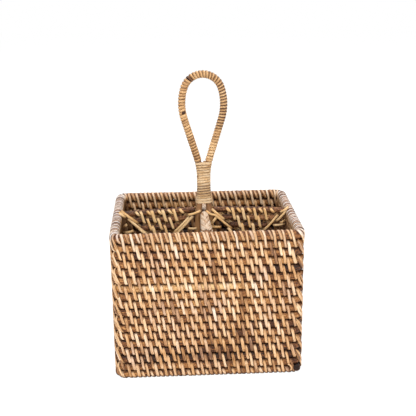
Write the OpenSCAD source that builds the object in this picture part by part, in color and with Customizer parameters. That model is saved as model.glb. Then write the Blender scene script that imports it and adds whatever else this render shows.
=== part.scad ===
// Rattan utensil caddy: a rectangular basket of stacked cane rods, four
// compartments under a cross of dividers, and a tall teardrop handle.
// Millimetres. Origin: centre of the footprint, on the table. X runs left to
// right, the front is at -Y and Z points up.

/* [Basket] */
// Width over the rim lashing, left to right
basket_w = 203; // [170:1:260]
// Depth over the rim lashing, front to back
basket_d = 165; // [140:1:220]
// Outer radius of the upright corners, over the rim lashing
corner_r = 14; // [12:0.5:24]
// Number of wall rods stacked under the rim rod
course_count = 17; // [12:1:20]

/* [Cane rods] */
// Diameter of the wall rods
rod_d = 8; // [6:0.1:9]
// Diameter of the rim rod
rim_d = 9.2; // [8:0.1:11]
// Diameter of the rods of the floor
floor_rod_d = 7.9; // [5:0.1:9]
// Least gap between two floor rods
floor_gap = 0.6; // [0.4:0.1:0.9]
// Height by which the floor rods clear the table
floor_lift = 0.8; // [0.5:0.1:2]
// Depth of the flat that the lowest rod stands on
foot_flat = 0.4; // [0.3:0.1:1]
// Gap between the end of a rod and what it butts against
end_gap = 0.3; // [0.2:0.05:0.5]

/* [Lashing strips] */
// Width of a split-cane strip
strip_w = 2.3; // [1.5:0.1:3]
// Thickness of a strip
strip_t = 0.7; // [0.5:0.05:1]
// Air between a strip and the rod it wraps
strip_gap = 0.1; // [0.05:0.05:0.2]
// Spacing of the stitches along the rim
rim_stitch = 9.6; // [7:0.1:14]

/* [Long divider] */
// Diameter of the divider rods
web_rod_d = 6.3; // [5:0.1:7]
// Air between two divider rods, one above the other
web_gap = 2.5; // [2:0.1:4]
// Rods in each half of the divider, top rod included
web_count = 5; // [3:1:5]
// How far the V of shorter rods starts in from each end
web_inset = 2; // [1:0.5:8]
// Length of the lowest rod, at the foot of the V
web_foot = 6.3; // [5:0.1:14]
// Top rod's crown above the rim lashing, at the wall
web_proud = 0.5; // [0:0.1:2]
// How much higher the top rod lies at the handle than at the wall
web_rise = 3.4; // [0:0.1:5]
// Spacing of the stitches along the divider
web_stitch = 12; // [10:0.5:16]
// Distance of the first stitch from a rod's end
web_stitch_in = 4.5; // [3:0.5:8]

/* [Cross beams] */
// Diameter of a wrapped beam at the wall
beam_d = 13.7; // [10:0.1:16]
// Diameter of a wrapped beam at its nose, by the handle
beam_nose_d = 8.5; // [7:0.1:9]

/* [Handle] */
// Diameter of the handle cane
pole_d = 6.6; // [5.5:0.1:8]
// Top of the loop above the rim lashing
handle_rise = 154.6; // [140:0.1:200]
// Centreline radius at the top of the loop
loop_top_r = 20.7; // [18:0.1:26]
// Centreline radius down the loop's sides
loop_side_r = 56; // [30:0.5:70]
// Angle at which the top radius hands over to the side radius
loop_hand_over = 72; // [50:1:75]
// Slant of the loop's lower sides from upright
loop_taper = 17.2; // [16:0.1:24]
// Centreline radius where the sides run into the neck
neck_top_r = 78; // [50:1:90]
// Air between the two canes in the neck
neck_split = 0.3; // [0.2:0.05:1]
// Height above the rim at which the canes begin to splay
splay_start = 27; // [20:1:36]
// Splay of each leg from upright
leg_splay = 5.5; // [4:0.1:7]
// Centreline radius of the bend from neck to leg
splay_r = 60; // [40:1:80]

/* [Handle wrapping] */
// Thickness of the wrapping strip
wrap_t = 1; // [0.8:0.05:1.2]
// Air between the wrapping and the cane
wrap_gap = 0.15; // [0.1:0.05:0.3]
// Bottom of the neck wrapping above the rim
neck_wrap_low = 8.3; // [5:0.1:12]
// Turns of the neck wrapping
neck_turns = 20; // [12:1:20]
// Room between the neck wrapping and the end of the grip wrapping
neck_wrap_room = 0.8; // [0.6:0.1:2]
// Least air between two turns on the neck
neck_turn_gap = 0.5; // [0.45:0.05:0.7]
// Turns of the grip wrapping
grip_turns = 24; // [16:1:24]
// Air between two turns on the grip, along the centreline
grip_turn_gap = 0.7; // [0.65:0.05:1]
// Angle of the loop's lower bend at which the grip wrapping ends
grip_end = 15; // [11:0.1:17]

/* [Hidden] */
$fn = 48;
skin = strip_t + strip_gap;                       // strip thickness over a rod
course_pitch = rod_d + strip_t + 2 * strip_gap;   // a strip passes between two rods
rim_x = basket_w / 2 - skin - rim_d / 2;          // centreline of every ring
rim_y = basket_d / 2 - skin - rim_d / 2;
bend_r = corner_r - skin - rim_d / 2;             // centreline radius of the corners
side_x = rim_x - bend_r;                          // half of a straight front stretch
side_y = rim_y - bend_r;
foot_z = rod_d / 2 - foot_flat;                   // centre of the lowest rod
last_z = foot_z + (course_count - 1) * course_pitch;
rim_z = last_z + rod_d / 2 + strip_t + 2 * strip_gap + rim_d / 2;
rim_top = rim_z + rim_d / 2 + skin;
inner_x = rim_x - rod_d / 2;                      // inner face of the wall rods
inner_y = rim_y - rod_d / 2;
lash_inner_x = rim_x - rim_d / 2 - skin;          // inner face of the rim lashing
lash_inner_y = rim_y - rim_d / 2 - skin;
inner_r = bend_r - rod_d / 2;

// floor: an odd number of rods, so that one lies under the handle
floor_z = floor_lift + floor_rod_d / 2;
floor_top = floor_z + floor_rod_d / 2;
floor_room = 2 * (inner_y - end_gap);
floor_count = 2 * floor((floor_room / (floor_rod_d + floor_gap) - 1) / 2) + 1;
floor_pitch = floor_room / floor_count;

// handle centreline, right half, from the top down; x and z where pieces meet
neck_x = pole_d / 2 + neck_split / 2;
loop_z0 = rim_top + handle_rise - wrap_t - wrap_gap - pole_d / 2;
side_end = 90 + loop_taper;
top_x = loop_top_r * sin(loop_hand_over);
top_z = loop_z0 - loop_top_r * (1 - cos(loop_hand_over));
side_cx = top_x - loop_side_r * sin(loop_hand_over);
side_cz = top_z - loop_side_r * cos(loop_hand_over);
taper_x = side_cx + loop_side_r * sin(side_end);
taper_z = side_cz + loop_side_r * cos(side_end);
taper_len = (taper_x - neck_top_r * (1 - cos(loop_taper)) - neck_x) / sin(loop_taper);
neck_cx = neck_x + neck_top_r;
neck_cz = taper_z - taper_len * cos(loop_taper) - neck_top_r * sin(loop_taper);
splay_z = rim_top + splay_start;
leg_x = neck_x + splay_r * (1 - cos(leg_splay));
leg_z = splay_z - splay_r * sin(leg_splay);
leg_len = (leg_z - floor_top - end_gap) / cos(leg_splay) - pole_d / 2 * tan(leg_splay);

// x of the handle cane's centreline at height z, from the loop's bend to the foot
function pole_x(z) =
  z > neck_cz ? neck_cx - sqrt(pow(neck_top_r, 2) - pow(z - neck_cz, 2))
  : z > splay_z ? neck_x
  : z > leg_z ? neck_x + splay_r - sqrt(pow(splay_r, 2) - pow(splay_z - z, 2))
  : leg_x + (leg_z - z) * tan(leg_splay);

// slant of the same centreline from upright, where the loop runs into the neck
function pole_lean(z) = z > neck_cz ? asin((z - neck_cz) / neck_top_r) : 0;

// long divider: each half runs from the wall to a leg, rising to the handle
web_pitch = web_rod_d + web_gap;
web_wall_z = rim_top + web_proud - web_rod_d / 2;
web_wall_x = lash_inner_x - end_gap;
web_leg_x = pole_x(web_wall_z + web_rise) + pole_d / 2 / cos(leg_splay) + end_gap;
web_run = web_wall_x - web_leg_x;
web_tilt = atan(web_rise / web_run);
web_len = web_run / cos(web_tilt) - web_rod_d / 2 * (tan(web_tilt) + tan(leg_splay));
web_face = web_rod_d / 2 + skin + strip_gap;      // bars pass outside the stitches
web_drop = (web_count - 1) * web_pitch;            // depth and run of the edges of the V
web_edge = (web_len - web_foot) / 2 - web_inset;
function web_cut(i) = i == 0 ? 0 : web_inset + web_edge * i / (web_count - 1);

// cross beams: crown level with the rim lashing, nose between the two legs
beam_end_y = lash_inner_y - end_gap;
nose_r = beam_nose_d / 2;
nose_z = rim_top - nose_r;
nose_reach = nose_r + pole_d / 2 + end_gap;
nose_y = sqrt(pow(nose_reach, 2) - pow(pole_x(nose_z), 2));
beam_tilt = atan((beam_d - beam_nose_d) / 2 / (beam_end_y - nose_y));
beam_len = (beam_end_y - nose_y) / cos(beam_tilt);

// stitches round the rim: half of the ring, then the same turned by 180 degrees
bend_l = PI / 2 * bend_r;
half_l = 2 * side_x + 2 * side_y + 2 * bend_l;
half_stitches = round(half_l / rim_stitch);

COURSES = [for (i = [1 : course_count]) str("wall_rod_", i < 10 ? "0" : "", i)];
WEBS = [for (s = ["left", "right"]) for (i = [1 : web_count]) str(s, "_divider_rod_", i)];

CANE = "#9a6c45";
BARK = "#7d5538";
STRIP = "#deb887";
WHITENED = "#c9b39a";

// point [x, y, heading] at distance s along half of the ring, from the front centre
function half_ring(s) =
  s < side_x ? [s, -rim_y, 0]
  : s < side_x + bend_l ? let (a = (s - side_x) / bend_r * 180 / PI)
      [side_x + bend_r * sin(a), -side_y - bend_r * cos(a), a]
  : s < side_x + bend_l + 2 * side_y ? [rim_x, s - side_x - bend_l - side_y, 90]
  : s < side_x + 2 * bend_l + 2 * side_y
      ? let (a = (s - side_x - bend_l - 2 * side_y) / bend_r * 180 / PI)
      [side_x + bend_r * cos(a), side_y + bend_r * sin(a), 90 + a]
  : [2 * side_x + 2 * bend_l + 2 * side_y - s, rim_y, 180];

// a cane bent round the basket, with its joint closed
module ring(d, z) {
  translate([0, 0, z]) {
    for (s = [-1, 1]) {
      translate([s * rim_x, 0, 0]) rotate([90, 0, 0]) cylinder(d = d, h = 2 * side_y, center = true);
      translate([0, s * rim_y, 0]) rotate([0, 90, 0]) cylinder(d = d, h = 2 * side_x, center = true);
    }
    for (a = [0 : 90 : 270]) {
      east = (a == 0 || a == 270) ? 1 : -1;
      north = a < 180 ? 1 : -1;
      translate([east * side_x, north * side_y, 0]) rotate([0, 0, a])
        rotate_extrude(angle = 90) translate([bend_r, 0]) circle(d = d);
    }
  }
}

module wall_rod(i) {
  color(i % 3 == 0 ? BARK : CANE) difference() {
    ring(rod_d, foot_z + i * course_pitch);
    if (i == 0)
      translate([0, 0, -rod_d]) cube([2 * basket_w, 2 * basket_d, 2 * rod_d], center = true);
  }
}

module rim_rod() {
  color(CANE) ring(rim_d, rim_z);
}

// outline that wraps an upper and a lower circle, with straight sides between them;
// the sides sink in by a hair, so that they cross the circles instead of grazing them
side_tuck = 0.003;
module two_rod_outline(upper_r, lower_r, spacing) {
  lean = asin((upper_r - lower_r) / spacing);
  upper_x = (upper_r - side_tuck) * cos(lean);
  upper_y = (upper_r - side_tuck) * sin(lean);
  lower_x = (lower_r - side_tuck) * cos(lean);
  lower_y = (lower_r - side_tuck) * sin(lean);
  translate([0, spacing / 2]) circle(upper_r);
  translate([0, -spacing / 2]) circle(lower_r);
  polygon([
    [upper_x, spacing / 2 - upper_y], [lower_x, -spacing / 2 - lower_y],
    [-lower_x, -spacing / 2 - lower_y], [-upper_x, spacing / 2 - upper_y]]);
}

// one strip round two rods that lie along X, the upper one above the lower
module stitch(upper_d, lower_d, spacing) {
  rotate([90, 0, 90]) linear_extrude(strip_w, center = true) difference() {
    two_rod_outline(upper_d / 2 + skin, lower_d / 2 + skin, spacing);
    two_rod_outline(upper_d / 2 + strip_gap, lower_d / 2 + strip_gap, spacing);
  }
}

// one strip round a single rod that lies along X
module single_stitch(d) {
  rotate([90, 0, 90]) linear_extrude(strip_w, center = true) difference() {
    circle(d / 2 + skin);
    circle(d / 2 + strip_gap);
  }
}

module rim_lashing() {
  color(STRIP) for (turn = [0, 180]) rotate([0, 0, turn])
    for (i = [0 : half_stitches - 1]) {
      p = half_ring((i + 0.5) * half_l / half_stitches);
      translate([p[0], p[1], (rim_z + last_z) / 2]) rotate([0, 0, p[2]])
        stitch(rim_d, rod_d, rim_z - last_z);
    }
}

// the space inside the lowest rod, which the floor rods fill
module floor_outline() {
  for (x = [-1, 1]) for (y = [-1, 1])
    translate([x * side_x, y * side_y]) circle(inner_r - end_gap);
  square([2 * side_x, 2 * (inner_y - end_gap)], center = true);
  square([2 * (inner_x - end_gap), 2 * side_y], center = true);
}

module floor_rods() {
  color(CANE) intersection() {
    translate([0, 0, floor_z]) for (i = [0 : floor_count - 1])
      translate([0, (i - (floor_count - 1) / 2) * floor_pitch, 0]) rotate([0, 90, 0])
        cylinder(d = floor_rod_d, h = 2 * inner_x, center = true);
    linear_extrude(2 * floor_top) floor_outline();
  }
}

// frame of the right half of the divider: X from the wall's end towards the leg,
// Z square to the top rod; the left half is its mirror image
module web_frame(side) {
  mirror([side == "left" ? 1 : 0, 0, 0])
    translate([web_wall_x, 0, web_wall_z]) rotate([0, -web_tilt, 180]) children();
}

module divider_rod(side, i) {
  color(i == 0 ? CANE : BARK) web_frame(side)
    translate([web_cut(i), 0, -i * web_pitch]) rotate([0, 90, 0])
      cylinder(d = web_rod_d, h = web_len - 2 * web_cut(i));
}

// stitches round each pair of rods, staggered by half a spacing from pair to pair
module divider_lashing(side) {
  color(STRIP) web_frame(side) {
    for (i = [1 : web_count - 1]) {
      first = web_cut(i) + web_stitch_in;
      room = web_len - 2 * first;
      count = max(1, 2 * floor((room / web_stitch + (i % 2)) / 2) + 1 - (i % 2));
      for (k = [0 : count - 1])
        translate([web_len / 2 + (k - (count - 1) / 2) * web_stitch, 0, (0.5 - i) * web_pitch])
          stitch(web_rod_d, web_rod_d, web_pitch);
    }
    singles = 2 * floor(((web_len - 2 * web_stitch_in) / web_stitch - 1) / 2) + 1;
    for (k = [0 : singles - 1])
      translate([web_len / 2 + (k - (singles - 1) / 2) * web_stitch, 0, 0])
        single_stitch(web_rod_d);
  }
}

// two strips side by side, on the front and on the back of the divider, down one
// edge of its V, from the top rod's end to the lowest rod
module edge_ties() {
  slant = atan(web_drop / web_edge);
  for (face = [-1, 1]) for (row = [0, 1])
    translate([strip_w * sin(slant), face * (web_face + strip_t / 2), 0])
      rotate([0, slant, 0])
        translate([0, -strip_t / 2, row * (strip_w + strip_gap) - strip_w])
          cube([norm([web_edge, web_drop]), strip_t, strip_w]);
}

module wall_ties(side) {
  color(STRIP) web_frame(side) edge_ties();
}

module leg_ties(side) {
  color(STRIP) web_frame(side) translate([web_len, 0, 0]) mirror([1, 0, 0]) edge_ties();
}

module beam() {
  color(WHITENED) translate([0, -nose_y, nose_z]) {
    sphere(nose_r);
    rotate([90 + beam_tilt, 0, 0]) cylinder(r1 = nose_r, r2 = beam_d / 2, h = beam_len);
  }
}

module front_beam() {
  beam();
}

module rear_beam() {
  mirror([0, 1, 0]) beam();
}

// point [x, z, heading] on the loop at distance s from its top, to the right
top_l = loop_top_r * loop_hand_over * PI / 180;
side_l = loop_side_r * (side_end - loop_hand_over) * PI / 180;
function loop_at(s) =
  s < 0 ? let (p = loop_at(-s)) [-p[0], p[1], -p[2]]
  : s < top_l ? let (a = s / loop_top_r * 180 / PI)
      [loop_top_r * sin(a), loop_z0 - loop_top_r * (1 - cos(a)), a]
  : s < top_l + side_l ? let (a = loop_hand_over + (s - top_l) / loop_side_r * 180 / PI)
      [side_cx + loop_side_r * sin(a), side_cz + loop_side_r * cos(a), a]
  : s < top_l + side_l + taper_len ? let (t = s - top_l - side_l)
      [taper_x - t * sin(loop_taper), taper_z - t * cos(loop_taper), side_end]
  : let (a = loop_taper - (s - top_l - side_l - taper_len) / neck_top_r * 180 / PI)
      [neck_cx - neck_top_r * cos(a), neck_cz + neck_top_r * sin(a), 90 + a];

// stations [x, z, heading] down the right half of the cane, from the loop's top to the foot
cane_step = 7.5;
function stations(from, to) = let (n = ceil(abs(to - from) / cane_step))
  [for (i = [1 : n]) from + (to - from) * i / n];
CANE_RIGHT = concat(
  [for (a = stations(0, loop_hand_over)) [loop_top_r * sin(a), loop_z0 - loop_top_r * (1 - cos(a)), a]],
  [for (a = stations(loop_hand_over, side_end))
    [side_cx + loop_side_r * sin(a), side_cz + loop_side_r * cos(a), a]],
  [for (a = concat([loop_taper], stations(loop_taper, 0)))
    [neck_cx - neck_top_r * cos(a), neck_cz + neck_top_r * sin(a), 90 + a]],
  [for (a = concat([0], stations(0, leg_splay)))
    [neck_x + splay_r * (1 - cos(a)), splay_z - splay_r * sin(a), 90 - a]],
  [[leg_x + leg_len * sin(leg_splay), leg_z - leg_len * cos(leg_splay), 90 - leg_splay]]);
cane_last = len(CANE_RIGHT) - 1;
CANE_PATH = concat(
  [for (i = [cane_last : -1 : 0]) let (p = CANE_RIGHT[i]) [-p[0], p[1], -p[2]]],
  [[0, loop_z0, 0]], CANE_RIGHT);
cane_sides = 16;

// faces of a closed tube whose rings have a given number of corners
function tube_faces(rings, sides) = concat(
  [for (k = [1 : sides - 2]) [0, k + 1, k]],
  [for (i = [0 : rings - 2]) for (k = [0 : sides - 1]) let (a = sides * i, b = (k + 1) % sides)
    each [[a + k, a + b, a + sides + k], [a + b, a + sides + b, a + sides + k]]],
  [for (k = [1 : sides - 2]) let (a = sides * (rings - 1)) [a, a + k, a + k + 1]]);

// one cane, bent hot: a leg, the neck, the loop, the neck and the other leg
module handle_cane() {
  color(CANE) polyhedron(
    [for (p = CANE_PATH) for (k = [0 : cane_sides - 1]) let (phi = (k + 0.5) * 360 / cane_sides)
      [p[0] + pole_d / 2 * cos(phi) * sin(p[2]), pole_d / 2 * sin(phi),
        p[1] + pole_d / 2 * cos(phi) * cos(p[2])]],
    tube_faces(len(CANE_PATH), cane_sides));
}

// the six corners of a flat strip: [offset along the cane, height over the cane]
strip_edge = 0.3;
function strip_section(w) = [
  [-w / 2, wrap_t / 2], [strip_edge - w / 2, wrap_t], [w / 2 - strip_edge, wrap_t],
  [w / 2, wrap_t / 2], [w / 2 - strip_edge, 0], [strip_edge - w / 2, 0]];

wrap_r = pole_d / 2 + wrap_gap;
grip_rings = 16;
neck_rings = 18;
grip_half = top_l + side_l + taper_len + neck_top_r * (loop_taper - grip_end) * PI / 180;
grip_pitch = 2 * grip_half / (grip_turns + 1);
grip_strip_w = grip_pitch - grip_turn_gap;
function grip_point(s, phi, r) = let (p = loop_at(s))
  [p[0] + r * cos(phi) * sin(p[2]), r * sin(phi), p[1] + r * cos(phi) * cos(p[2])];
grip_points = [
  for (i = [0 : grip_turns * grip_rings]) for (c = strip_section(grip_strip_w))
    grip_point(-grip_half + grip_pitch / 2 + i * grip_pitch / grip_rings + c[0],
      i * 360 / grip_rings, wrap_r + c[1])];

neck_top = neck_cz + (neck_top_r - wrap_r - wrap_t) * sin(grip_end) - neck_wrap_room;
neck_pitch = (neck_top - rim_top - neck_wrap_low + neck_turn_gap) / (neck_turns + 1);
neck_strip_w = neck_pitch - neck_turn_gap;
neck_low_z = rim_top + neck_wrap_low + neck_strip_w / 2;
function neck_point(z, phi, r) = [
  sign(cos(phi)) * pole_x(z) + r * cos(phi) / cos(pole_lean(z)), r * sin(phi), z];
neck_points = [
  for (i = [0 : neck_turns * neck_rings]) for (c = strip_section(neck_strip_w))
    neck_point(neck_low_z + i * neck_pitch / neck_rings + c[0],
      (i + 0.5) * 360 / neck_rings, wrap_r + c[1])];

// least distance between a turn's leading edge and the next turn's trailing edge
function turn_gap(points, per_turn) = let (rings = len(points) / 6)
  min([for (i = [0 : rings - 1 - per_turn]) for (a = [2, 3, 4]) for (b = [0, 1, 5])
    for (j = [max(0, i - 2) : min(rings - 1 - per_turn, i + 2)])
      norm(points[6 * i + a] - points[6 * (j + per_turn) + b])]);
echo(grip_turn_gap_measured = turn_gap(grip_points, grip_rings));
echo(neck_turn_gap_measured = turn_gap(neck_points, neck_rings));

module grip_wrapping() {
  color(STRIP) polyhedron(grip_points, tube_faces(grip_turns * grip_rings + 1, 6));
}

module neck_wrapping() {
  color(STRIP) polyhedron(neck_points, tube_faces(neck_turns * neck_rings + 1, 6));
}

for (i = [0 : course_count - 1])
  wall_rod(i);
rim_rod();
rim_lashing();
floor_rods();
for (i = [0 : web_count - 1]) {
  divider_rod("left", i);
  divider_rod("right", i);
}
divider_lashing("left");  // left_divider_lashing
divider_lashing("right");  // right_divider_lashing
wall_ties("left");  // left_wall_ties
wall_ties("right");  // right_wall_ties
leg_ties("left");  // left_leg_ties
leg_ties("right");  // right_leg_ties
front_beam();
rear_beam();
handle_cane();
grip_wrapping();
neck_wrapping();
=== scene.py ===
"""Rattan utensil caddy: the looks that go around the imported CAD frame.

The basket is canes lashed together with split cane. Every cane and every
lashing is a tube that is subdivided along its length and then bent, ring by
ring, along its route. All places come from the CAD nodes, save those of the
loose straps, which are given over the rim.
"""

import math
import random
from collections import namedtuple

import bmesh
import bpy
from bpy.props import (
    FloatProperty,
    FloatVectorProperty,
    IntProperty,
    PointerProperty,
    StringProperty,
)
from mathutils import Matrix, Vector, noise


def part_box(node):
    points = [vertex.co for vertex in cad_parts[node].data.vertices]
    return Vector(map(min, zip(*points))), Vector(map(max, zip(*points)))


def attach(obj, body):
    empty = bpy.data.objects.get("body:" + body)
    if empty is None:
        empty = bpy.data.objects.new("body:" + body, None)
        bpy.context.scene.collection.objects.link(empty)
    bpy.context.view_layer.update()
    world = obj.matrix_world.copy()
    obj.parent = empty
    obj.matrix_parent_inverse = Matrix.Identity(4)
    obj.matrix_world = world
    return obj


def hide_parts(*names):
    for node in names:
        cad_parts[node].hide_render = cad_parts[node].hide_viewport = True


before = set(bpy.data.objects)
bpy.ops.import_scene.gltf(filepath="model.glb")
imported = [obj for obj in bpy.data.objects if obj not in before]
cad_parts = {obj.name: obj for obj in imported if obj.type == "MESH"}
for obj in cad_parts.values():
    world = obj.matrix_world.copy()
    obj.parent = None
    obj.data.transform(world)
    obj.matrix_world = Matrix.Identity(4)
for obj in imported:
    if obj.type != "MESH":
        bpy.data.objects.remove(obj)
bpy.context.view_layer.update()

bl_info = {
    "name": "Rattan Utensil Caddy",
    "version": (1, 0, 0),
    "blender": (4, 5, 0),
    "location": "3D View > Sidebar > Caddy",
    "description": "Dresses the caddy's CAD frame in lashed cane",
    "category": "Add Mesh",
}

MM = 0.001
TURN = 2 * math.pi
RIGHT, FRONT, UP = Vector((1, 0, 0)), Vector((0, -1, 0)), Vector((0, 0, 1))

# strips under the lowest cane end this far over the table
CLEAR = 0.02 * MM

# the lowest cane is worn flat, and lies on its strips at this height
WORN_FLAT = 0.78 * MM


def clamp(value):
    """The value, held between 0 and 1."""
    return min(1.0, max(0.0, value))


def blend(a, b, mix):
    """Values that lie a share of the way from those in a to those in b."""
    return [u + (v - u) * mix for u, v in zip(a, b)]


# ---------------------------------------------------------------------------
# What the CAD nodes say
# ---------------------------------------------------------------------------

COURSES = sorted(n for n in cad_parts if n.startswith("wall_rod_"))


def node_size(node):
    low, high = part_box(node)
    return high - low


def middle(node):
    low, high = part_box(node)
    return (low + high) / 2


ROD_R = node_size(COURSES[1]).z / 2
RIM_R = node_size("rim_rod").z / 2
ROD_Z = [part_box(n)[1].z - ROD_R for n in COURSES]
RIM_Z = middle("rim_rod").z
RIM_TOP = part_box("rim_lashing")[1].z
RING_X = node_size("rim_rod").x / 2 - RIM_R
RING_Y = node_size("rim_rod").y / 2 - RIM_R
SKIN = (node_size("rim_lashing").x - node_size("rim_rod").x) / 2

# how far a cane is pressed into the gap to the next one
COURSE_SQUEEZE = (ROD_Z[2] - ROD_Z[1]) / 2 - ROD_R + 0.05 * MM

# left open where the two ends of a ring's cane meet
BUTT_GAP = 0.3 * MM

# centreline radius of the basket's upright corners
BEND_R = 8.6 * MM
SIDE_X = RING_X - BEND_R
SIDE_Y = RING_Y - BEND_R
BEND_L = BEND_R * math.pi / 2
HALF_RING = 2 * SIDE_X + 2 * SIDE_Y + 2 * BEND_L
FULL_RING = 2 * HALF_RING


# ---------------------------------------------------------------------------
# Settings
# ---------------------------------------------------------------------------


def size_prop(name, text, value, **limits):
    return FloatProperty(name=name, description=text, default=value, unit="LENGTH", **limits)


def angle_prop(name, text, degrees):
    value = math.radians(degrees)
    return FloatProperty(name=name, description=text, default=value, unit="ROTATION")


def colour_prop(name, text, value):
    return StringProperty(name=name, description=text, default=value)


class CaddyWeave(bpy.types.PropertyGroup):
    strip_width: size_prop(
        "Strip width", "Width of a split-cane lashing strip", 3.3 * MM, min=1 * MM, max=4 * MM
    )
    strip_thickness: size_prop(
        "Strip thickness", "Thickness of a lashing strip at its crown", SKIN - 0.1 * MM
    )
    strip_gap: size_prop("Strip clearance", "Air between a strip and the cane under it", 0.08 * MM)
    turns: IntProperty(
        name="Turns per course",
        description="Turns that a lashing makes on its way round the basket",
        default=70,
        min=30,
        max=110,
    )
    lean_outside: size_prop(
        "Lean outside", "Advance of a lashing while it crosses two canes outside", 2.9 * MM
    )
    lean_corner: size_prop(
        "Lean at the corners", "How much further a lashing leans on the four bends", 5.2 * MM
    )
    hand: size_prop(
        "Unevenness", "How far hand work puts a strip off its regular place", 0.75 * MM
    )
    wave: size_prop("Waviness", "How far a cane wanders from its straight course", 0.32 * MM)


class CaddyHandle(bpy.types.PropertyGroup):
    top_radius: size_prop("Top radius", "Centreline radius at the top of the loop", 20.7 * MM)
    side_radius: size_prop("Side radius", "Centreline radius down the loop's sides", 56 * MM)
    hand_over: angle_prop(
        "Hand-over", "Angle at which the top radius becomes the side radius", 72
    )
    taper: angle_prop("Taper", "Slant of the loop's lower sides", 17.2)
    neck_radius: size_prop(
        "Neck radius", "Centreline radius where the sides run into the neck", 78 * MM
    )
    splay_radius: size_prop(
        "Splay radius", "Centreline radius of the bend from the neck to a leg", 60 * MM
    )
    splay: angle_prop("Splay", "Slant of each leg", 5.5)
    splay_height: size_prop(
        "Splay height", "Height above the rim at which the legs begin to splay", 27 * MM
    )
    grip_pitch: size_prop("Grip pitch", "Advance of one turn of the grip's binding", 3.2 * MM)
    neck_pitch: size_prop("Neck pitch", "Advance of one turn of the neck's binding", 2.93 * MM)


class CaddyFinish(bpy.types.PropertyGroup):
    core_dark: colour_prop("Core shade", "Darkest streaks of the stained canes", "#56301a")
    core_mid: colour_prop("Core", "Body colour of the stained canes", "#9a6437")
    core_light: colour_prop("Core light", "Rubbed streaks of the stained canes", "#cb965c")
    strip_dark: colour_prop("Strip shade", "Darkest lashing strips", "#98673d")
    strip_mid: colour_prop("Strip", "Body colour of the lashing strips", "#d6a36d")
    strip_light: colour_prop("Strip light", "Palest lashing strips", "#f2cb9f")


class CaddyStage(bpy.types.PropertyGroup):
    place: FloatVectorProperty(
        name="Camera place",
        description="Where the camera stands",
        default=(-39.63 * MM, -886.98 * MM, 431.56 * MM),
        size=3,
        subtype="TRANSLATION",
        unit="LENGTH",
    )
    turn: FloatVectorProperty(
        name="Camera turn",
        description="Yaw to the right, pitch down and roll of the camera",
        default=(math.radians(2.84), math.radians(16.82), math.radians(-0.67)),
        size=3,
        subtype="EULER",
        unit="ROTATION",
    )
    lens: FloatProperty(
        name="Lens", description="Focal length on a 36 mm sensor", default=72.5, unit="CAMERA"
    )


def settings():
    """The scene's settings: weave, handle, finish and stage."""
    scene = bpy.context.scene
    return scene.caddy_weave, scene.caddy_handle, scene.caddy_finish, scene.caddy_stage


# ---------------------------------------------------------------------------
# Materials
# ---------------------------------------------------------------------------


def colour(hex_text):
    """A linear colour from an sRGB hex value."""
    channels = [int(hex_text[i : i + 2], 16) / 255 for i in (1, 3, 5)]
    linear = [c / 12.92 if c <= 0.04045 else ((c + 0.055) / 1.055) ** 2.4 for c in channels]
    return (*linear, 1.0)


def add_node(tree, kind, settings=None, links=None):
    """Adds a node. Settings go to its properties or sockets, links to its sockets."""
    node = tree.nodes.new(kind)
    for key, value in (settings or {}).items():
        if isinstance(key, int) or key in node.inputs:
            node.inputs[key].default_value = value
        else:
            setattr(node, key, value)
    for key, source in (links or {}).items():
        tree.links.new(source, node.inputs[key])
    return node


def ramp_stops(node, stops):
    """Sets a colour ramp to a list of (position, hex colour)."""
    elements = node.color_ramp.elements
    while len(elements) > 2:
        elements.remove(elements[-1])
    for i, (position, hex_text) in enumerate(stops):
        element = elements[i] if i < 2 else elements.new(position)
        element.position = position
        element.color = colour(hex_text)


# rattan bleached by the sun, and the painted sheen on top of the rims: grey with a breath of pink
FADED_AND_SHEEN = [(0.0, "#7a5c4c"), (0.25, "#a98d7e"), (0.5, "#cdb4a6"), (0.8, "#e6d4ca"), (1.0, "#f5ece7")]

# multiplies the colour by painted shade in crevices, along the foot and deep inside, and by the
# dark bark on the handle's bindings
SHADE_AND_BARK_COLOUR = "#471f0a"

# pores and nodes of the bark, (size along, size across) in millimetres
SPECKLE = (1.7, 1.3)


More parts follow.
